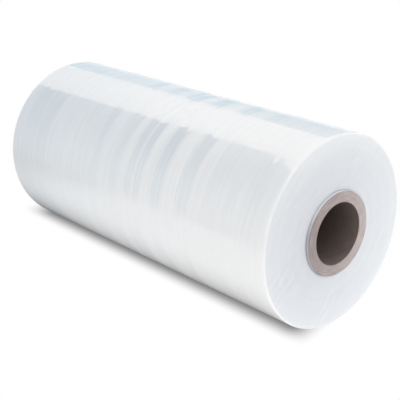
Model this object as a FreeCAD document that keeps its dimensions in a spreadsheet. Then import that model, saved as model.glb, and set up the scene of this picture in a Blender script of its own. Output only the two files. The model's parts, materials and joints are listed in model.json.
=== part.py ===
import FreeCAD, Part
import os
import sys
import Sketcher

# A machine roll of stretch wrap film, wound on a thick paper tube and lying on its side.
# Lengths are millimetres. The roll's axis is X and passes through the origin, which is
# the middle of the tube's bore. +X points to the end that faces the viewer and +Z is up.
# Two pieces come apart on a bench: the paper tube, and the film with all its turns.

# Driving dimensions: name, value, what it is.
SIZES = [
    ("core_bore", 76.2, "inside diameter of the paper tube"),
    ("core_wall", 13.3, "wall of the paper tube"),
    ("core_overhang", 3.5, "how far the tube stands out past the web at each end"),
    ("core_chamfer", 0.6, "broken edges where the tube was cut to length"),
    ("web_width", 508.0, "width of the film"),
    ("roll_diameter", 236.4, "outside diameter of the wound film over its tight rings"),
    ("rim_radius", 4.5, "rounding of the film's two rims"),
    ("turn_wander", 0.9, "how far the turns wander sideways as they are wound"),
    ("ring_fall", 0.35, "fall from the tight film to the slackest ring on the outside"),
    ("ring_slope", 3.0, "length along the axis over which a slack ring falls away"),
    ("flat_width", 20.0, "width of the spot that the roll's own weight presses flat"),
]

# Where the turns change direction as they wander: share of the winding's thickness
# outward from the tube, then share of the wander towards +X.
TURN_GROUPS = [
    (0.00, 0.35), (0.07, 0.75), (0.17, 0.30), (0.28, 0.60), (0.40, 0.10),
    (0.52, 0.55), (0.66, 0.25), (0.81, 0.85),
]
# The same share for the outermost turns, which carry the rims.
LAST_TURN_LEAN = 0.50

# Slack rings along the outside: shares of the length between the rims, from the -X end,
# where each begins and ends, then its share of the ring fall.
SLACK_RINGS = [
    (0.045, 0.080, 0.60), (0.370, 0.410, 0.70), (0.448, 0.472, 0.80), (0.508, 0.560, 1.00),
    (0.630, 0.655, 0.90), (0.712, 0.748, 0.95), (0.935, 0.965, 0.50),
]

# Corners of a rim between an end face and the outside: degrees round its quarter circle.
RIM_CORNERS = (0, 22.5, 45, 67.5, 90)

# Formulas on the sheet that both pieces share.
TUBE_OUTSIDE = "(Sizes.core_bore / 2 + Sizes.core_wall)"
ROLL_OUTSIDE = "(Sizes.roll_diameter / 2)"

# Points of a curve in a sketch, by number, and the sketch's own origin.
START, END, CENTRE = 1, 2, 3
SKETCH_ORIGIN = (-1, START)


def make_sheet(doc):
    """The spreadsheet of driving dimensions, one named cell each."""
    sheet = doc.addObject("Spreadsheet::Sheet", "Sizes")
    for row, (alias, value, note) in enumerate(SIZES, start=1):
        sheet.set(f"A{row}", alias)
        sheet.set(f"B{row}", str(value))
        sheet.set(f"C{row}", note)
        sheet.setAlias(f"B{row}", alias)
    doc.recompute()
    return sheet


def origin_feature(body, role):
    """One of a body's own origin planes or axes."""
    return next(f for f in body.Origin.OriginFeatures if f.Role == role)


def new_sketch(body, name, role):
    """An empty sketch on one of the body's own origin planes."""
    sketch = body.newObject("Sketcher::SketchObject", name)
    sketch.AttachmentSupport = [(origin_feature(body, role), "")]
    sketch.MapMode = "FlatFace"
    return sketch


def bind(sketch, kind, elements, name, formula):
    """A named dimension in the sketch, tied to a formula on the sheet."""
    value = float(sketch.evalExpression(formula))
    index = sketch.addConstraint(Sketcher.Constraint(kind, *elements, value))
    sketch.renameConstraint(index, name)
    sketch.setExpression(f"Constraints.{name}", formula)


def bind_point(sketch, curve, end, name, place):
    """Ties one point of a curve to its formulas along the axis and out from it."""
    along, out = place
    bind(sketch, "DistanceX", (*SKETCH_ORIGIN, curve, end), f"{name}_along", along)
    bind(sketch, "DistanceY", (*SKETCH_ORIGIN, curve, end), f"{name}_out", out)


def join(sketch, curve, end, other, other_end):
    """Makes two curves meet."""
    sketch.addConstraint(Sketcher.Constraint("Coincident", curve, end, other, other_end))


def make_core(doc):
    """The paper tube, cut square from a longer one, with its two cuts' edges broken."""
    body = doc.addObject("PartDesign::Body", "core_tube")
    body.Label = "core_tube"
    section = new_sketch(body, "core_section", "YZ_Plane")
    for name, diameter in (("bore", "Sizes.core_bore"), ("outside", f"2 * {TUBE_OUTSIDE}")):
        radius = float(section.evalExpression(diameter)) / 2
        circle = section.addGeometry(
            Part.Circle(FreeCAD.Vector(), FreeCAD.Vector(0, 0, 1), radius), False)
        join(section, circle, CENTRE, *SKETCH_ORIGIN)
        bind(section, "Diameter", (circle,), name, diameter)
    doc.recompute()

    tube = body.newObject("PartDesign::Pad", "core_length")
    tube.Profile = section
    tube.Midplane = True
    tube.setExpression("Length", "Sizes.web_width + 2 * Sizes.core_overhang")
    section.Visibility = False
    doc.recompute()

    cuts = body.newObject("PartDesign::Chamfer", "core_cut_edges")
    rims = [f"Edge{i}" for i, edge in enumerate(tube.Shape.Edges, start=1)
            if isinstance(edge.Curve, Part.Circle)]
    cuts.Base = (tube, rims)
    cuts.setExpression("Size", "Sizes.core_chamfer")
    tube.Visibility = False
    body.Tip = cuts
    doc.recompute()
    return body


def turn_end(side, lean):
    """Formula for where a turn's edge lies along the axis, at the +X or -X side.

    A turn keeps its width, so where it stands out at one end it is sunk at the other."""
    return f"{side} * Sizes.web_width / 2 + {lean - 0.5:.3f} * Sizes.turn_wander"


def end_face_points(side):
    """The corners of one end face, from the tube outward, as pairs of formulas."""
    land = f"({ROLL_OUTSIDE} - Sizes.rim_radius - {TUBE_OUTSIDE})"
    return [(turn_end(side, lean), f"{TUBE_OUTSIDE} + {share} * {land}")
            for share, lean in TURN_GROUPS]


def outside_points():
    """The outside from the -X rim to the +X rim, with its slack rings, as pairs of formulas."""
    run = "(Sizes.web_width - 2 * Sizes.rim_radius)"
    points = []
    for begin, finish, fall in SLACK_RINGS:
        low = f"{ROLL_OUTSIDE} - {fall} * Sizes.ring_fall"
        begin_at, finish_at = (f"({share - 0.5:.3f}) * {run}" for share in (begin, finish))
        points += [(begin_at, ROLL_OUTSIDE), (f"{begin_at} + Sizes.ring_slope", low),
                   (f"{finish_at} - Sizes.ring_slope", low), (finish_at, ROLL_OUTSIDE)]
    return points


def rim_points(side):
    """One rim's corners, from its end face to the outside, as pairs of formulas."""
    along = f"{turn_end(side, LAST_TURN_LEAN)} - {side} * Sizes.rim_radius"
    out = f"{ROLL_OUTSIDE} - Sizes.rim_radius"
    return [(f"{along} + {side} * Sizes.rim_radius * cos({turn} deg)",
             f"{out} + Sizes.rim_radius * sin({turn} deg)") for turn in RIM_CORNERS]


def add_outline(sketch, places, name):
    """A closed outline of straight runs, whose corners are bound to their places."""
    spots = [FreeCAD.Vector(*(float(sketch.evalExpression(f)) for f in place), 0)
             for place in places]
    runs = [sketch.addGeometry(Part.LineSegment(spot, after), False)
            for spot, after in zip(spots, spots[1:] + spots[:1])]
    for number, (run, place) in enumerate(zip(runs, places), start=1):
        bind_point(sketch, run, START, f"{name}_{number}", place)
        join(sketch, runs[number - 2], END, run, START)


def film_outline():
    """The film's half section: a face, a rim, the outside, the other rim and face.

    The run that closes it lies on the tube."""
    near = end_face_points(1) + rim_points(1)
    far = end_face_points(-1) + rim_points(-1)
    return near + outside_points()[::-1] + far[::-1]


def flat_cut_outline():
    """A rectangle below the roll, whose top edge is the level of the flat spot."""
    level = f"-sqrt({ROLL_OUTSIDE} ^ 2 - (Sizes.flat_width / 2) ^ 2)"
    left, right, below = f"-{ROLL_OUTSIDE}", ROLL_OUTSIDE, "-Sizes.roll_diameter"
    return [(left, below), (right, below), (right, level), (left, level)]


def make_film(doc):
    """The wound film. All its turns are one solid, and its section shows how they lie."""
    body = doc.addObject("PartDesign::Body", "film_roll")
    body.Label = "film_roll"
    section = new_sketch(body, "film_section", "XZ_Plane")
    add_outline(section, film_outline(), "corner")
    doc.recompute()

    wound = body.newObject("PartDesign::Revolution", "film_turns")
    wound.Profile = section
    wound.ReferenceAxis = (origin_feature(body, "X_Axis"), [""])
    wound.Angle = 360
    section.Visibility = False
    doc.recompute()

    flat_outline = new_sketch(body, "flat_outline", "YZ_Plane")
    add_outline(flat_outline, flat_cut_outline(), "corner")
    doc.recompute()

    flat = body.newObject("PartDesign::Pocket", "flat_spot")
    flat.Profile = flat_outline
    flat.Midplane = True
    flat.setExpression("Length", "2 * Sizes.web_width")
    flat_outline.Visibility = False
    wound.Visibility = False
    body.Tip = flat
    doc.recompute()
    if flat.Shape.Volume >= wound.Shape.Volume:
        sys.exit("the flat spot cut nothing off the roll")
    return body


def check_document(doc):
    """Stops if any object in the document failed."""
    failed = [o.Name for o in doc.Objects if {"Invalid", "Error"} & set(o.State)]
    if failed:
        sys.exit(f"these objects failed: {failed}")


def export_piece(body):
    """Writes one piece under its own label, if its shape is sound."""
    shape = body.Shape
    if shape.isNull() or not shape.isValid() or len(shape.Solids) != 1:
        sys.exit(f"{body.Label} is not one sound solid")
    shape.exportStep(f"parts/{body.Label}.step")
    box = shape.BoundBox
    print(f"{body.Label}: {box.XLength:.2f} x {box.YLength:.2f} x {box.ZLength:.2f} mm,"
          f" {shape.Volume / 1e6:.3f} litres")


def main():
    doc = FreeCAD.newDocument("stretch_wrap_roll")
    make_sheet(doc)
    pieces = [make_core(doc), make_film(doc)]
    check_document(doc)
    os.makedirs("parts", exist_ok=True)
    for body in pieces:
        export_piece(body)


main()
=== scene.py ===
import json
import math

import bpy
from mathutils import Matrix, Vector


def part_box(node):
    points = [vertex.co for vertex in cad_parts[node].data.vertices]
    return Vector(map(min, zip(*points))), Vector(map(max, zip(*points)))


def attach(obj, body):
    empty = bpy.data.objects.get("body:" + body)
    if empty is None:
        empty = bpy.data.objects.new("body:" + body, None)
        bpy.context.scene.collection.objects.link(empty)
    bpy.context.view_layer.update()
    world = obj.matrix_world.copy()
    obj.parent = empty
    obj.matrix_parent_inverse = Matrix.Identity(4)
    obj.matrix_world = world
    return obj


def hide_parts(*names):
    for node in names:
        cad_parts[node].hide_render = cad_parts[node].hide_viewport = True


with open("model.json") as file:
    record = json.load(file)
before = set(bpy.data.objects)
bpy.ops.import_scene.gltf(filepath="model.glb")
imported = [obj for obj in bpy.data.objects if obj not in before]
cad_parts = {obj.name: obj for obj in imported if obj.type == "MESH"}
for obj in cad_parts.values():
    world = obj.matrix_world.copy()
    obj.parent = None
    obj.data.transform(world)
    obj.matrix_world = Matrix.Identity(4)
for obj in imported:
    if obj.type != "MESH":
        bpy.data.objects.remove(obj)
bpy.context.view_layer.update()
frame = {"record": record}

# A machine roll of stretch wrap film on a paper tube, lying on a white table.
# Lengths are metres. The roll's axis is X through the origin. +X is the end that faces the
# viewer, -Y is the viewer's side and +Z is up.

FILM_LOW, FILM_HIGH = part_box("film_roll")
TUBE_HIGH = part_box("core_tube")[1]
BORE_MOUNT = next(m for m in frame["record"]["mounts"] if m["name"] == "core_bore")

MM = 0.001

# The roll and its tube, as in the solids.
ROLL_RADIUS = FILM_HIGH.z
FLAT_LEVEL = FILM_LOW.z
WEB_HALF = 508.0 * MM / 2
RIM_RADIUS = 4.5 * MM
TURN_WANDER = 0.9 * MM
RING_FALL = 0.20 * MM
RING_SLOPE = 7.0 * MM
TUBE_RADIUS = TUBE_HIGH.z
TUBE_HALF = TUBE_HIGH.x
TUBE_EDGE = 0.6 * MM
BORE_RADIUS = BORE_MOUNT["dims"]["r_mm"] * MM
# The first turn stands this far off the tube, so that their walls don't share a place.
FIRST_TURN_GAP = 0.15 * MM

# Where the turns change direction as they wander: share of the winding's thickness
# outward from the tube, then share of the wander towards +X.
TURN_GROUPS = [
    (0.00, 0.35), (0.07, 0.75), (0.17, 0.30), (0.28, 0.60), (0.40, 0.10),
    (0.52, 0.55), (0.66, 0.25), (0.81, 0.85), (1.00, 0.50),
]

# Slack rings along the outside: shares of the length between the rims, from the -X end,
# where each begins and ends, then its share of the ring fall.
SLACK_RINGS = [
    (0.045, 0.080, 0.60), (0.370, 0.410, 0.70), (0.448, 0.472, 0.80), (0.508, 0.560, 1.00),
    (0.630, 0.655, 0.90), (0.712, 0.748, 0.95), (0.935, 0.965, 0.50),
]

# Fineness of the two lathed pieces.
FILM_SEGMENTS = 180
FACE_POINTS = 56
RIM_POINTS = 9
OUTSIDE_POINTS = 360
TUBE_SEGMENTS = 144
CUT_POINTS = 18
BORE_POINTS = 40

# Rings that show through the outer turns: middle and width in metres, then strength.
# A clear ring is tight and glassy, and a hazy one is milky and dulls the gloss.
CLEAR_RINGS = [
    (-0.200, 0.056, 0.50), (-0.061, 0.010, 0.45), (-0.017, 0.014, 0.50), (0.014, 0.009, 0.75),
    (0.031, 0.010, 0.90), (0.067, 0.014, 1.00), (0.116, 0.014, 0.75),
]
HAZY_RINGS = [
    (-0.042, 0.012, 0.35), (0.000, 0.010, 0.55), (0.045, 0.012, 0.90), (0.091, 0.018, 1.00),
    (0.137, 0.018, 0.60), (0.188, 0.024, 0.15), (0.238, 0.020, 0.15),
]
RING_BLUR = 3.0 * MM

# Between these distances from the middle, the outside's finish gives way to the cut end's.
CUT_END_FROM, CUT_END_TO = WEB_HALF - 2.6 * MM, WEB_HALF - 0.6 * MM

# How often the film's patterns repeat in a metre: along the roll, then both ways across it.
STREAKS_A_METRE = (260, 12, 12)
THREADS_A_METRE = (520, 7, 7)
CLOUDS_A_METRE = (22, 14, 14)
LINES_A_METRE = (900, 5, 5)
# The same for the cut edges of the turns and of the paper's plies, counted outward.
TURNS_A_METRE = 1500
TURN_GROUPS_A_METRE = 190
# How often the cut ends' painted glint streaks repeat across them.
GLINT_STREAKS_A_METRE = 130
PLIES_A_METRE = 750

# The film's gloss, and how deep light goes into it.
FILM_COAT_IOR = 2.5
FILM_COAT_ROUGHNESS = 0.012
FILM_LIGHT_DEPTH = 8 * MM

# The seam in the tube's bore: its pitch, and half its width as a share of a turn.
SEAM_PITCH = 0.155
SEAM_HALF_SHARE = 0.006
# How far into the bore its mouths are painted paler, painted light that comes in at them.
MOUTH_LIGHT_LENGTH = 60 * MM

# Colours of the finishes: red, green and blue, as shares of the light that they return.
FILM_THIN, FILM_MILKY = (0.775, 0.81, 0.84), (0.955, 0.96, 0.965)
CUT_FILM_DARK, CUT_FILM_PALE = (0.60, 0.615, 0.645), (0.775, 0.79, 0.81)
# The rim's painted highlight.
FILM_RIM_HIGHLIGHT = (0.98, 0.985, 0.99)
CUT_PAPER_DARK, CUT_PAPER_PALE = (0.15, 0.115, 0.105), (0.52, 0.45, 0.44)
# The bore's paper, painted darker than the cut's: painted shade inside the tube.
BORE_PAPER_SHADED_DARK, BORE_PAPER_SHADED_PALE = (0.065, 0.046, 0.036), (0.24, 0.185, 0.165)
OUTER_PAPER_DARK, OUTER_PAPER_PALE = (0.38, 0.38, 0.43), (0.70, 0.70, 0.76)
# The tube's outside under film, with painted light on its top.
PAPER_UNDER_FILM_AND_LIGHT = (0.90, 0.90, 0.92)
# Torn paper round the bore, and painted shade at the tube's outer edge.
TORN_AT_BORE, SHADE_AT_OUTER_EDGE = (0.62, 0.56, 0.54), (0.16, 0.15, 0.17)
SEAM_DARK = (0.10, 0.075, 0.06)

# The camera: place, then yaw from +X and pitch in degrees, and focal length in pixels.
CAMERA_PLACE = (0.88086, -0.78234, 0.41236)
CAMERA_YAW = 137.698
CAMERA_PITCH = -20.568
FOCAL_PIXELS = 930.43
PHOTO_WIDTH = 400
SENSOR = 36.0


class Flow:
    """A node's output. Python's operators on it add Math nodes."""

    def __init__(self, graph, socket):
        self.graph = graph
        self.socket = socket

    def maths(self, operation, *others):
        return self.graph.maths(operation, self, *others)

    def __add__(self, other):
        return self.maths("ADD", other)

    def __sub__(self, other):
        return self.maths("SUBTRACT", other)

    def __mul__(self, other):
        return self.maths("MULTIPLY", other)

    def __truediv__(self, other):
        return self.maths("DIVIDE", other)

    def __pow__(self, other):
        return self.maths("POWER", other)

    def __rsub__(self, other):
        return self.graph.maths("SUBTRACT", other, self)

    def __rtruediv__(self, other):
        return self.graph.maths("DIVIDE", other, self)

    __radd__ = __add__
    __rmul__ = __mul__

    def smooth(self, start, end):
        """0 before start, 1 after end, and a smooth rise between."""
        return self.graph.add(
            "ShaderNodeMapRange", {"interpolation_type": "SMOOTHSTEP"},
            {"Value": self, "From Min": start, "From Max": end})["Result"]


class Node:
    """A node that is in place, whose outputs are read by name or number."""

    def __init__(self, graph, node):
        self.graph = graph
        self.node = node

    def __getitem__(self, name):
        return Flow(self.graph, self.node.outputs[name])


class Graph:
    """A node tree being written."""

    MIX_COLOUR = {"factor": 0, "a": 6, "b": 7, "result": 2}

    def __init__(self, tree):
        self.tree = tree
        tree.nodes.clear()

    def add(self, kind, settings=None, inputs=None):
        """Adds a node, then its settings, then the values or links of its sockets."""
        node = self.tree.nodes.new(kind)
        for name, value in (settings or {}).items():
            if name == "stops":
                self.set_stops(node.color_ramp, value)
            else:
                setattr(node, name, value)
        for name, value in (inputs or {}).items():
            if isinstance(value, Flow):
                self.tree.links.new(value.socket, node.inputs[name])
            else:
                node.inputs[name].default_value = value
        return Node(self, node)

    def set_stops(self, ramp, stops):
        """Gives a ramp its stops, as places and grey levels in order."""
        ramp.interpolation = "EASE"
        while len(ramp.elements) < len(stops):
            ramp.elements.new(1.0)
        for element, (place, level) in zip(ramp.elements, stops):
            element.position = place
            element.color = (level, level, level, 1)

    def maths(self, operation, *values):
        return self.add("ShaderNodeMath", {"operation": operation}, dict(enumerate(values)))[0]

    def noise(self, vector, scale=1.0, detail=2.0, roughness=0.5):
        return self.add("ShaderNodeTexNoise", None, {
            "Vector": vector, "Scale": scale, "Detail": detail, "Roughness": roughness})[0]

    def stretched(self, vector, factors):
        """A vector times one factor for each axis."""
        return self.add("ShaderNodeVectorMath", {"operation": "MULTIPLY"},
                        {0: vector, 1: factors})[0]

    def vector(self, x, y, z):
        return self.add("ShaderNodeCombineXYZ", None, {"X": x, "Y": y, "Z": z})[0]

    def blend(self, factor, a, b):
        """Colour a where the factor is 0, and b where it is 1."""
        at = self.MIX_COLOUR
        mixed = self.add("ShaderNodeMix", {"data_type": "RGBA"}, {
            at["factor"]: factor, at["a"]: self.rgba(a), at["b"]: self.rgba(b)})
        return mixed[at["result"]]

    def rgba(self, colour):
        return colour if isinstance(colour, Flow) else (*colour, 1)


class RollPlace:
    """Where a point of the surface lies on the roll, for materials."""

    def __init__(self, graph):
        self.vector = graph.add("ShaderNodeTexCoord")["Object"]
        parts = graph.add("ShaderNodeSeparateXYZ", None, {0: self.vector})
        self.along, self.across, self.up = parts["X"], parts["Y"], parts["Z"]
        self.radius = (self.across ** 2 + self.up ** 2) ** 0.5
        # Which way the point faces round the axis: 1 at +Y, and 1 at the top.
        self.sideways, self.upward = self.across / self.radius, self.up / self.radius
        # The angle's jump from one side to the other is at the bottom, on the table.
        self.angle = graph.maths("ARCTAN2", self.across, self.up)


def ring_stops(rings):
    """Stops of a ramp along the film's width that is 0 between rings."""
    stops = [(0.0, 0.0)]
    for middle, width, strength in rings:
        for offset, level in ((-width / 2 - RING_BLUR, 0), (-width / 2, strength),
                              (width / 2, strength), (width / 2 + RING_BLUR, 0)):
            share = (middle + offset + WEB_HALF) / (2 * WEB_HALF)
            stops.append((min(share, 1.0), level))
    return stops


def new_material(name):
    material = bpy.data.materials.new(name)
    material.use_nodes = True
    return material, Graph(material.node_tree)


def finish_surface(graph, shader):
    graph.add("ShaderNodeOutputMaterial", None, {"Surface": shader})


def film_material():
    """Many turns of clear film: milky in depth, glassy outside and dull on the cut ends."""
    material, graph = new_material("stretch_film")
    place = RollPlace(graph)
    at_end = place.along.maths("ABSOLUTE").smooth(CUT_END_FROM, CUT_END_TO)
    on_side = 1 - at_end

    # Streaks run round the roll, and feather the edges of its rings.
    streaks = graph.noise(graph.stretched(place.vector, STREAKS_A_METRE), 1.0, 5.0, 0.65) - 0.5
    threads = graph.noise(graph.stretched(place.vector, THREADS_A_METRE), 1.0, 2.0)
    threads = threads.smooth(0.58, 0.68)
    clouds = graph.noise(graph.stretched(place.vector, CLOUDS_A_METRE), 1.0, 3.0) - 0.5
    sway = graph.noise(place.vector, 9.0) - 0.5
    ring_place = place.along + sway * (4 * MM) + streaks * (9 * MM)
    share = (ring_place + WEB_HALF) / (2 * WEB_HALF)
    # Rings and streaks are fainter on the underside, and a little fainter on top.
    sideways, upward = place.sideways, place.upward
    shown = 0.3 + upward.smooth(-0.05, 0.2) * 0.7 - upward.smooth(0.80, 0.88) * 0.25
    clear = graph.add("ShaderNodeValToRGB", {"stops": ring_stops(CLEAR_RINGS)}, {0: share})[0]
    hazy = graph.add("ShaderNodeValToRGB", {"stops": ring_stops(HAZY_RINGS)}, {0: share})[0]
    clear, hazy, streaks, threads = (part * shown for part in (clear, hazy, streaks, threads))
    # The film is painted paler towards +X, painted light for the brighter light at the near end.
    # Its rings, streaks, clouds and threads vary how milky it is.
    milk_and_painted_light = (share * 1.03 + 0.06 + hazy * 0.17 - clear * 0.24
            - streaks * 0.40 - clouds * 0.10 + threads * 0.07)

    # Turns seen from their cut edges, as fine rings round the tube.
    turns = graph.noise(
        graph.vector(place.radius * TURNS_A_METRE, place.angle * 0.6, 0), 1.0, 3.0, 0.7)
    groups = graph.noise(
        graph.vector(place.radius * TURN_GROUPS_A_METRE, place.angle * 0.5, 4), 1.0, 2.0)

    side_colour = graph.blend(milk_and_painted_light, FILM_THIN, FILM_MILKY)
    outward = (place.radius - TUBE_RADIUS) / (ROLL_RADIUS - TUBE_RADIUS)
    # Painted glints: streaks of painted highlight on the cut ends, all in one direction, in
    # patches.
    glint_streaks_at = (place.up - place.across) * GLINT_STREAKS_A_METRE
    glint_streaks_at = graph.vector(glint_streaks_at, (place.across + place.up) * 22, 0)
    glint_patches = 0.2 + graph.noise(place.vector, 16.0).smooth(0.48, 0.66) * 0.7
    painted_glints = (graph.noise(glint_streaks_at, 1.0, 3.0) - 0.5) * glint_patches
    # Painted light: the cut end is painted paler on top near the rim, and paler towards +Y and
    # darker towards -Y, most of all near the tube. It is also paler outward from the tube, and
    # its turns and painted glints vary it.
    top = upward.smooth(0.6, 1.0) * outward.smooth(0.5, 0.9)
    depth = (groups * 0.2 + turns * 0.35 + outward * 0.42 + top * 0.25 + 0.08 + painted_glints
             + sideways * (0.16 - outward * 0.12))
    end_colour = graph.blend(depth, CUT_FILM_DARK, CUT_FILM_PALE)
    colour = graph.blend(at_end, side_colour, end_colour)
    # Painted highlight: the rim is painted near white, as light caught in the turns' folded
    # edges, most of all low on the -Y side.
    low_side = (-1 * sideways).smooth(0.2, 0.8) * (1 - upward.smooth(0.1, 0.6))
    rim = at_end * (1 - at_end) * (0.5 + low_side * 3.3)
    colour = graph.blend(rim, colour, FILM_RIM_HIGHLIGHT)

    roughness = on_side * (0.38 - clear * 0.08 + hazy * 0.08) + at_end * 0.52
    shine = 0.58 + clear * 0.40 - hazy * 0.26 + streaks * 0.80 + clouds * 0.4 - threads * 0.10
    gloss = on_side * shine + at_end * 0.10

    lines = graph.noise(graph.stretched(place.vector, LINES_A_METRE), 1.0, 2.0)
    height = on_side * (lines * 0.08 + streaks * 0.1) + at_end * (turns * 0.8 + groups * 0.6)
    bump = graph.add("ShaderNodeBump", None, {
        "Strength": 0.25, "Distance": 0.2 * MM, "Height": height})["Normal"]

    film = graph.add("ShaderNodeBsdfPrincipled", {"subsurface_method": "RANDOM_WALK"}, {
        "Base Color": colour, "Roughness": roughness, "Normal": bump,
        "Specular IOR Level": 0.2,
        "Coat Weight": gloss, "Coat Roughness": FILM_COAT_ROUGHNESS, "Coat IOR": FILM_COAT_IOR,
        "Subsurface Weight": 0.75, "Subsurface Radius": (1.0, 1.0, 1.0),
        "Subsurface Scale": FILM_LIGHT_DEPTH})
    finish_surface(graph, film["BSDF"])
    return material


def paper_material():
    """Grey-brown paperboard, wound in plies that show on the cuts and as a seam in the bore."""
    material, graph = new_material("core_paper")
    place = RollPlace(graph)
    at_cut = place.along.maths("ABSOLUTE").smooth(TUBE_HALF - TUBE_EDGE, TUBE_HALF - 0.2 * MM)
    fibres = graph.noise(place.vector, 900.0, 5.0, 0.7)
    blotches = graph.noise(place.vector, 70.0, 3.0)
    plies = graph.noise(
        graph.vector(place.radius * PLIES_A_METRE, place.angle * 2.4, 0), 1.0, 3.0, 0.7)

    # The inner ply's edges meet along a helix.
    turn = place.angle / (2 * math.pi) + place.along / SEAM_PITCH
    seam = 1 - turn.maths("FRACT").maths("PINGPONG", 0.5).smooth(0.0, SEAM_HALF_SHARE)

    tone = fibres * 0.5 + blotches * 0.3 + at_cut * (plies * 1.1 - 0.3)
    # Painted light and shade: the cut is painted darker towards -Y and paler towards +Y. The
    # bore is painted dark, painted shade inside the tube, and paler along the bottom and at its
    # mouths, painted light that comes in through the mouths.
    cut_colour = graph.blend(tone + place.sideways * 0.2, CUT_PAPER_DARK, CUT_PAPER_PALE)
    mouth_light = place.along.maths("ABSOLUTE").smooth(TUBE_HALF - MOUTH_LIGHT_LENGTH, TUBE_HALF)
    bore_tone_and_light = tone - place.upward * 0.25 + mouth_light * 0.30 - 0.08
    bore_colour = graph.blend(bore_tone_and_light, BORE_PAPER_SHADED_DARK, BORE_PAPER_SHADED_PALE)
    # Film that sticks to the tube's outside makes it paler there, and it is painted paler
    # towards the top, painted light from above.
    outside_colour = graph.blend(tone, OUTER_PAPER_DARK, OUTER_PAPER_PALE)
    film_and_top_light = place.upward.smooth(0.1, 0.8) * 0.7
    outside_colour = graph.blend(film_and_top_light, outside_colour, PAPER_UNDER_FILM_AND_LIGHT)
    at_outside = place.radius.smooth(TUBE_RADIUS - TUBE_EDGE, TUBE_RADIUS - 0.1 * MM)
    colour = graph.blend(at_outside, bore_colour, outside_colour)
    colour = graph.blend(at_cut, colour, cut_colour)
    # The cut's edges are torn and pale round the bore; outside, the edge is painted dark,
    # painted shade where the tube meets the film.
    torn_and_shaded_edge = graph.blend(at_outside, TORN_AT_BORE, SHADE_AT_OUTER_EDGE)
    colour = graph.blend(at_cut * (1 - at_cut) * 3, colour, torn_and_shaded_edge)
    colour = graph.blend(seam * (1 - at_cut) * 0.7, colour, SEAM_DARK)
    height = fibres * 0.5 + plies * at_cut * 0.8 - seam * (1 - at_cut)
    bump = graph.add("ShaderNodeBump", None, {
        "Strength": 0.5, "Distance": 0.3 * MM, "Height": height})["Normal"]
    paper = graph.add("ShaderNodeBsdfPrincipled", None, {
        "Base Color": colour, "Roughness": 0.88 - fibres * 0.1, "Normal": bump})
    finish_surface(graph, paper["BSDF"])
    return material


# The lathe reads its noise on a circle round the roll, so that it meets itself.
WANDER_CIRCLE = 0.7
RIPPLE_CIRCLE = 2.0
# Points of the turned surface that are nearer than this become one.
WELD_DISTANCE = 0.01 * MM

# Inputs of the lathe tree, with their socket types.
LATHE_INPUTS = {
    "Segments": "NodeSocketInt", "Inner Radius": "NodeSocketFloat",
    "Outer Radius": "NodeSocketFloat", "Flat Level": "NodeSocketFloat",
    "Wander": "NodeSocketFloat", "Wander Scale": "NodeSocketFloat",
    "Ripple": "NodeSocketFloat", "Ripple Scale": "NodeSocketFloat",
    "Seed": "NodeSocketFloat", "Material": "NodeSocketMaterial",
}


def lathe_tree():
    """Turns a section, a chain of points in X and radius Y, round the X axis.

    The turned surface wanders a little along X and dips a little below its radius, and
    nothing of it lies under the flat level."""
    tree = bpy.data.node_groups.new("wound_lathe", "GeometryNodeTree")
    tree.interface.new_socket("Section", in_out="INPUT", socket_type="NodeSocketGeometry")
    for name, kind in LATHE_INPUTS.items():
        tree.interface.new_socket(name, in_out="INPUT", socket_type=kind)
    tree.interface.new_socket("Geometry", in_out="OUTPUT", socket_type="NodeSocketGeometry")
    graph = Graph(tree)
    given = graph.add("NodeGroupInput")
    points = graph.add("GeometryNodeAttributeDomainSize", {"component": "MESH"},
                       {"Geometry": given["Section"]})["Point Count"]
    around = given["Segments"] + 1
    grid = graph.add("GeometryNodeMeshGrid", None, {"Vertices X": points, "Vertices Y": around})

    index = graph.add("GeometryNodeInputIndex")[0]
    row = (index / around).maths("FLOOR")
    place = graph.add("GeometryNodeInputPosition")[0]
    sampled = graph.add("GeometryNodeSampleIndex", {"data_type": "FLOAT_VECTOR"}, {
        "Geometry": given["Section"], "Value": place, "Index": row})[0]
    section = graph.add("ShaderNodeSeparateXYZ", None, {0: sampled})
    along, radius = section["X"], section["Y"]

    # Angles start at -Y and go up over the top. The grid's seam is at the bottom, on the table.
    angle = (index - row * around) / given["Segments"] * (2 * math.pi) - math.pi / 2
    forward, upward = angle.maths("COSINE"), angle.maths("SINE")
    outward = (radius - given["Inner Radius"]) / (given["Outer Radius"] - given["Inner Radius"])

    wander_at = graph.vector(radius * given["Wander Scale"],
                             forward * WANDER_CIRCLE + given["Seed"], upward * WANDER_CIRCLE)
    wander = graph.noise(wander_at, 1.0, 3.0) - 0.5
    ripple_at = graph.vector(along * given["Ripple Scale"],
                             forward * RIPPLE_CIRCLE + given["Seed"], upward * RIPPLE_CIRCLE)
    ripple = graph.noise(ripple_at, 1.0, 2.0)

    new_along = along + wander * given["Wander"]
    new_radius = radius - ripple * outward * given["Ripple"]
    level = (new_radius * upward).maths("MAXIMUM", given["Flat Level"])
    turned = graph.add("GeometryNodeSetPosition", None, {
        "Geometry": grid["Mesh"],
        "Position": graph.vector(new_along, -1 * new_radius * forward, level)})["Geometry"]
    joined = graph.add("GeometryNodeMergeByDistance", None, {
        "Geometry": turned, "Distance": WELD_DISTANCE})["Geometry"]
    smooth = graph.add("GeometryNodeSetShadeSmooth", None, {"Geometry": joined})["Geometry"]
    real = graph.add("GeometryNodeRealizeInstances", None, {"Geometry": smooth})["Geometry"]
    made = graph.add("GeometryNodeSetMaterial", None, {
        "Geometry": real, "Material": given["Material"]})["Geometry"]
    graph.add("NodeGroupOutput", None, {"Geometry": made})
    return tree


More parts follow.
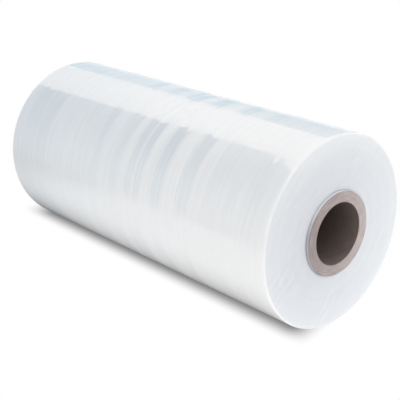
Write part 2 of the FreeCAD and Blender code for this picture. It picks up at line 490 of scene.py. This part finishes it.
def turn_on_lathe(tree, name, section, **inputs):
    """A new piece: the section turned by the tree into a plain mesh."""
    chain = bpy.data.meshes.new(name)
    chain.from_pydata([(x, r, 0) for x, r in section], [], [])
    piece = bpy.data.objects.new(name, chain)
    bpy.context.scene.collection.objects.link(piece)
    lathe = piece.modifiers.new("lathe", "NODES")
    lathe.node_group = tree
    sockets = {s.name: s.identifier for s in tree.interface.items_tree if s.in_out == "INPUT"}
    for label, value in inputs.items():
        lathe[sockets[label.replace("_", " ").title()]] = value
    bpy.context.view_layer.update()
    depsgraph = bpy.context.evaluated_depsgraph_get()
    turned = bpy.data.meshes.new_from_object(piece.evaluated_get(depsgraph), depsgraph=depsgraph)
    piece.modifiers.clear()
    piece.data = turned
    bpy.data.meshes.remove(chain)
    turned.name = name
    return piece


def spread(count, start, end):
    """Evenly spaced values from start to end."""
    return [start + (end - start) * i / (count - 1) for i in range(count)]


def ease(share):
    """A smooth step from 0 to 1."""
    share = min(max(share, 0.0), 1.0)
    return share * share * (3 - 2 * share)


def turn_lean(share):
    """How far the turns lean towards +X at a share of the winding's thickness."""
    for (begin, before), (end, after) in zip(TURN_GROUPS, TURN_GROUPS[1:]):
        if share <= end:
            return before + (after - before) * ease((share - begin) / (end - begin))
    return TURN_GROUPS[-1][1]


def ring_depth(x):
    """How far the outside lies below its tight film at x."""
    run = 2 * (WEB_HALF - RIM_RADIUS)
    depth = 0.0
    for begin, end, fall in SLACK_RINGS:
        begin_at, end_at = (begin - 0.5) * run, (end - 0.5) * run
        inside = ease((x - begin_at) / RING_SLOPE) * ease((end_at - x) / RING_SLOPE)
        depth = max(depth, fall * RING_FALL * inside)
    return depth


def film_half_section(side):
    """One end face from the first turn outward, and its rim."""
    inner, land_top = TUBE_RADIUS + FIRST_TURN_GAP, ROLL_RADIUS - RIM_RADIUS
    face = []
    for share in spread(FACE_POINTS, 0.0, 1.0):
        x = side * WEB_HALF + (turn_lean(share) - 0.5) * TURN_WANDER
        face.append((x, inner + share * (land_top - inner)))
    rim = [(side * (WEB_HALF - RIM_RADIUS + RIM_RADIUS * math.cos(turn)),
            land_top + RIM_RADIUS * math.sin(turn))
           for turn in spread(RIM_POINTS, 0, math.pi / 2)[1:]]
    return face + rim


def make_film(tree):
    """The wound film: both end faces, the rims and the outside, closed along the tube."""
    run_half = WEB_HALF - RIM_RADIUS
    outside = [(x, ROLL_RADIUS - ring_depth(x))
               for x in spread(OUTSIDE_POINTS, run_half, -run_half)[1:-1]]
    section = film_half_section(1) + outside + film_half_section(-1)[::-1]
    film = turn_on_lathe(
        tree, "wound_film", section + section[:1], segments=FILM_SEGMENTS,
        inner_radius=TUBE_RADIUS, outer_radius=ROLL_RADIUS, flat_level=FLAT_LEVEL,
        wander=0.12 * MM, wander_scale=900.0, ripple=0.10 * MM, ripple_scale=70.0, seed=3.0,
        material=film_material())
    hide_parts("film_roll")
    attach(film, "root")


def make_tube(tree):
    """The paper tube, with the edges of both cuts slightly rounded."""
    corner = [math.pi / 2 * i / 3 for i in range(4)]
    cut = []
    for turn in corner:
        cut.append((TUBE_HALF - TUBE_EDGE + TUBE_EDGE * math.sin(turn),
                    BORE_RADIUS + TUBE_EDGE - TUBE_EDGE * math.cos(turn)))
    for radius in spread(CUT_POINTS, BORE_RADIUS + TUBE_EDGE, TUBE_RADIUS - TUBE_EDGE)[1:]:
        cut.append((TUBE_HALF, radius))
    for turn in corner[1:]:
        cut.append((TUBE_HALF - TUBE_EDGE + TUBE_EDGE * math.cos(turn),
                    TUBE_RADIUS - TUBE_EDGE + TUBE_EDGE * math.sin(turn)))
    bore_end = TUBE_HALF - TUBE_EDGE
    bore = [(x, BORE_RADIUS) for x in spread(BORE_POINTS, -bore_end, bore_end)[1:-1]]
    section = cut + [(-x, r) for x, r in cut[::-1]] + bore
    tube = turn_on_lathe(
        tree, "paper_tube", section + section[:1], segments=TUBE_SEGMENTS,
        inner_radius=BORE_RADIUS, outer_radius=TUBE_RADIUS, flat_level=-TUBE_RADIUS,
        wander=0.0, wander_scale=1.0, ripple=0.0, ripple_scale=1.0, seed=0.0,
        material=paper_material())
    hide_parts("core_tube")
    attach(tube, "root")


# The studio. Light levels are radiance, where 1 is white, and places are in metres.
BLACK, WHITE = (0, 0, 0), (1, 1, 1)
ROOM_COLOUR = (0.98, 0.99, 1.0)
ROOM_LIGHT = 0.96

# The table on the floor, which lights the roll from below, and the duller ground round it.
FLOOR_HALF = 12.0
TABLE_LEFT, TABLE_RIGHT = -0.36, 1.60
TABLE_FRONT, TABLE_BACK = -0.45, 0.70
TABLE_BLUR = 0.03
TABLE_FRONT_BLUR = 0.004
TABLE_LIGHT = 1.08
GROUND_LIGHT = 0.36
# The roll keeps light off the table beside it: from where to where that shade fades out.
SHADE_HALF_WIDTH = (0.05, 0.17)
SHADE_FAR_END = (-0.46, -0.34)
SHADE_NEAR_END = (0.215, 0.26)

# The contact shadow: how far off things count as hiding the sky, which way the sky is
# brightest, and the shares of open sky from full shadow to none.
SHADOW_REACH = 0.6
SKY_LEAN = (0.707, 0.0, 0.707)
SHADOW_SKY = (0.12, 0.36)
# The patch of shadow right under the roll, and where it fades out.
SHADOW_DEPTH = 0.8
SHADOW_HALF_WIDTH = (0.035, 0.072)
SHADOW_FAR_END = (-0.338, -0.270)
SHADOW_NEAR_END = (0.212, 0.258)
SHADOW_NEAR_SKEW = 0.25

# The table as gloss shows it: its level at the far end and at the near end, where it rises
# between them, and how much of that rise each stretch takes.
FAR_GLARE, NEAR_GLARE = 0.45, 0.94
GLARE_RISES = [((-0.50, -0.20), 0.85), ((-0.10, 0.20), 0.15)]
GROUND_GLARE = 0.70
# The gain along the front edge, and where the table turns white behind the roll.
FRONT_GAIN, FRONT_GAIN_FADE = 0.20, (-0.44, -0.16)
WHITE_BEHIND = (0.15, 0.45)
# How dark gloss shows the shade beside the roll: at the middle, and its growth with x squared.
GLARE_SHADE, GLARE_SHADE_GROWTH = 0.62, 3.5

# The walls: colour at the floor, colour at a height, and that height.
GREY_WALL = ((0.64, 0.74, 0.80), (0.10, 0.22, 0.33), 3.4)
BLUE_WALL = ((0.64, 0.82, 0.92), (0.20, 0.40, 0.54), 2.6)
DEEP_WALL = ((0.36, 0.59, 0.74), (0.16, 0.36, 0.50), 2.6)
# The blue walls are pale up to this height. Blue and deep blue begin at these distances back.
WALL_HAZE, WALL_HAZE_HEIGHT = (0.95, 0.97, 0.98), 0.5
BLUE_FROM, DEEP_FROM = (0.4, 1.4), (2.15, 2.75)
WALL_RADIUS = 3.6
WALL_HEIGHT = 4.6
# The walls stand round the far side, between these turns from +X in degrees.
WALL_POINTS = 40
WALL_START, WALL_END = 110, 250
WALL_FLOOR_GAP = 0.5 * MM

# The softbox's corners: left and right of its front edge, then of its back edge.
SOFTBOX_CORNERS = [(-3.00, -0.270), (-0.15, 0.012), (-0.15, 1.27), (-3.00, 1.47)]
SOFTBOX_HEIGHT = 1.20
SOFTBOX_COLOUR = (1.0, 0.985, 0.97)
# Its level in front and at the back, and where the one passes into the other.
SOFTBOX_LIGHT = (1.12, 1.04)
SOFTBOX_FADE = (0.1, 0.9)
SIDE_LAMP_PLACE = (0.95, 0.30, 0.08)
SIDE_LAMP_SIZE = 0.35
SIDE_LAMP_POWER = 0.9


def seen_directly(graph):
    """1 for rays from the camera, a mirror or clear stuff, and 0 for rays that light things."""
    path = graph.add("ShaderNodeLightPath")
    seen = path["Is Camera Ray"].maths("MAXIMUM", path["Is Glossy Ray"])
    return seen.maths("MAXIMUM", path["Is Transmission Ray"])


def set_world():
    """A white background, and a plain light level for everything that isn't seen directly."""
    world = bpy.data.worlds.new("room")
    world.use_nodes = True
    graph = Graph(world.node_tree)
    lit = graph.add("ShaderNodeBackground", None, {
        "Color": graph.rgba(ROOM_COLOUR), "Strength": ROOM_LIGHT})[0]
    white = graph.add("ShaderNodeBackground", None, {
        "Color": graph.rgba(WHITE), "Strength": 1.0})[0]
    shown = graph.add("ShaderNodeMixShader", None, {0: seen_directly(graph), 1: lit, 2: white})
    graph.add("ShaderNodeOutputWorld", None, {"Surface": shown[0]})
    bpy.context.scene.world = world


def floor_material():
    """A white table that lights the roll from below and keeps its shadow."""
    material, graph = new_material("white_table")
    parts = graph.add("ShaderNodeSeparateXYZ", None, {
        0: graph.add("ShaderNodeNewGeometry")["Position"]})
    x, y = parts["X"], parts["Y"]
    in_front = 1 - y.smooth(TABLE_FRONT - TABLE_FRONT_BLUR, TABLE_FRONT + TABLE_FRONT_BLUR)
    on_table = (x.smooth(TABLE_LEFT - TABLE_BLUR, TABLE_LEFT + TABLE_BLUR)
                * (1 - in_front)
                * (1 - y.smooth(TABLE_BACK - TABLE_BLUR, TABLE_BACK + TABLE_BLUR))
                * (1 - x.smooth(TABLE_RIGHT - TABLE_BLUR, TABLE_RIGHT + TABLE_BLUR)))
    # The sky is brighter towards +X, so the shadow falls a little towards -X. Where the sky
    # alone leaves a gap under the roll, the patch closes it.
    open_sky = graph.add("ShaderNodeAmbientOcclusion", {"samples": 32}, {
        "Distance": SHADOW_REACH, "Normal": graph.vector(*SKY_LEAN)})["AO"]
    near_end = (x + y * SHADOW_NEAR_SKEW).smooth(*SHADOW_NEAR_END)
    under = 1 - y.maths("ABSOLUTE").smooth(*SHADOW_HALF_WIDTH)
    under = under * x.smooth(*SHADOW_FAR_END) * (1 - near_end)
    contact = open_sky.smooth(*SHADOW_SKY).maths("MINIMUM", 1 - under * SHADOW_DEPTH)
    beside = x.smooth(*SHADE_FAR_END) * (1 - x.smooth(*SHADE_NEAR_END))
    shaded = beside * (1 - y.maths("ABSOLUTE").smooth(*SHADE_HALF_WIDTH))
    mirrored = graph.add("ShaderNodeLightPath")["Is Glossy Ray"]
    glare = FAR_GLARE
    for stretch, part in GLARE_RISES:
        glare = glare + x.smooth(*stretch) * (part * (NEAR_GLARE - FAR_GLARE))
    glare = glare * (1 + FRONT_GAIN - FRONT_GAIN * y.smooth(*FRONT_GAIN_FADE))
    glare = glare + (1 - glare) * y.smooth(*WHITE_BEHIND)
    glare = glare * (1 - in_front) + in_front * GROUND_GLARE
    reflected = glare * (1 - shaded * (GLARE_SHADE + GLARE_SHADE_GROWTH * x ** 2))
    shade = contact * (1 - mirrored) + reflected * mirrored
    shown = graph.add("ShaderNodeEmission", None, {
        "Color": graph.blend(shade, BLACK, WHITE), "Strength": 1.0})[0]
    ground = GROUND_LIGHT / TABLE_LIGHT
    level = (ground + on_table * (1 - ground)) * (1 - shaded)
    lighting = graph.add("ShaderNodeEmission", None, {
        "Color": graph.blend(level, BLACK, WHITE), "Strength": TABLE_LIGHT})[0]
    finish_surface(graph, graph.add("ShaderNodeMixShader", None, {
        0: seen_directly(graph), 1: lighting, 2: shown})[0])
    return material


def wall_material():
    """The room's walls as the film's gloss mirrors them: grey in front and blue behind."""
    material, graph = new_material("room_walls")
    parts = graph.add("ShaderNodeSeparateXYZ", None, {
        0: graph.add("ShaderNodeTexCoord")["Object"]})
    height, back = parts["Z"], parts["Y"]
    grey, blue, deep = (graph.blend(height.smooth(0.0, top), low, high)
                        for low, high, top in (GREY_WALL, BLUE_WALL, DEEP_WALL))
    blue = graph.blend(back.smooth(*DEEP_FROM), blue, deep)
    blue = graph.blend(height.smooth(0.0, WALL_HAZE_HEIGHT), WALL_HAZE, blue)
    colour = graph.blend(back.smooth(*BLUE_FROM), grey, blue)
    finish_surface(graph, graph.add("ShaderNodeEmission", None, {"Color": colour})[0])
    return material


def softbox_material():
    """A lit cloth that is a little brighter in front."""
    material, graph = new_material("softbox_cloth")
    front, back = SOFTBOX_LIGHT
    across = graph.add("ShaderNodeSeparateXYZ", None, {
        0: graph.add("ShaderNodeTexCoord")["Object"]})["Y"]
    dimmed = tuple(part * back / front for part in SOFTBOX_COLOUR)
    colour = graph.blend(across.smooth(*SOFTBOX_FADE), SOFTBOX_COLOUR, dimmed)
    finish_surface(graph, graph.add("ShaderNodeEmission", None, {
        "Color": colour, "Strength": front})[0])
    return material


def add_stage_mesh(name, vertices, faces, material):
    mesh = bpy.data.meshes.new(name)
    mesh.from_pydata(vertices, [], faces)
    mesh.materials.append(material)
    piece = bpy.data.objects.new(name, mesh)
    bpy.context.scene.collection.objects.link(piece)
    return piece


def make_stage():
    """The table, the walls that only gloss shows, and the softbox overhead."""
    half, level = FLOOR_HALF, FLAT_LEVEL
    add_stage_mesh("floor", [(-half, -half, level), (half, -half, level),
                             (half, half, level), (-half, half, level)],
                   [(0, 1, 2, 3)], floor_material())

    turns = [math.radians(a) for a in spread(WALL_POINTS, WALL_START, WALL_END)]
    ring = [(WALL_RADIUS * math.cos(t), WALL_RADIUS * math.sin(t)) for t in turns]
    low, high = FLAT_LEVEL + WALL_FLOOR_GAP, WALL_HEIGHT
    vertices = [(x, y, z) for x, y in ring for z in (low, high)]
    faces = [(2 * i, 2 * i + 1, 2 * i + 3, 2 * i + 2) for i in range(len(ring) - 1)]
    walls = add_stage_mesh("walls", vertices, faces, wall_material())
    for ray in ("camera", "diffuse", "transmission", "volume_scatter", "shadow"):
        setattr(walls, f"visible_{ray}", False)

    softbox = add_stage_mesh("softbox", [(x, y, SOFTBOX_HEIGHT) for x, y in SOFTBOX_CORNERS],
                             [(0, 1, 2, 3)], softbox_material())
    softbox.visible_camera = False

    side = bpy.data.lights.new("side_lamp", "AREA")
    side.shape = "SQUARE"
    side.size = SIDE_LAMP_SIZE
    side.energy = SIDE_LAMP_POWER
    lamp = bpy.data.objects.new("side_lamp", side)
    lamp.location = SIDE_LAMP_PLACE
    aim = Vector((WEB_HALF, 0, 0)) - Vector(SIDE_LAMP_PLACE)
    lamp.rotation_euler = aim.to_track_quat("-Z", "Y").to_euler()
    lamp.visible_camera = False
    lamp.visible_glossy = False
    bpy.context.scene.collection.objects.link(lamp)


def make_camera():
    """The photograph's viewpoint."""
    yaw, pitch = math.radians(CAMERA_YAW), math.radians(CAMERA_PITCH)
    forward = Vector((math.cos(pitch) * math.cos(yaw), math.cos(pitch) * math.sin(yaw),
                      math.sin(pitch)))
    data = bpy.data.cameras.new("camera")
    data.sensor_width = SENSOR
    data.lens = SENSOR * FOCAL_PIXELS / PHOTO_WIDTH
    camera = bpy.data.objects.new("camera", data)
    turned = forward.to_track_quat("-Z", "Y").to_matrix().to_4x4()
    camera.matrix_world = Matrix.Translation(CAMERA_PLACE) @ turned
    bpy.context.scene.collection.objects.link(camera)
    bpy.context.scene.camera = camera


bpy.context.scene.view_settings.view_transform = "Standard"
set_world()
make_stage()
make_camera()
lathe = lathe_tree()
make_film(lathe)
make_tube(lathe)
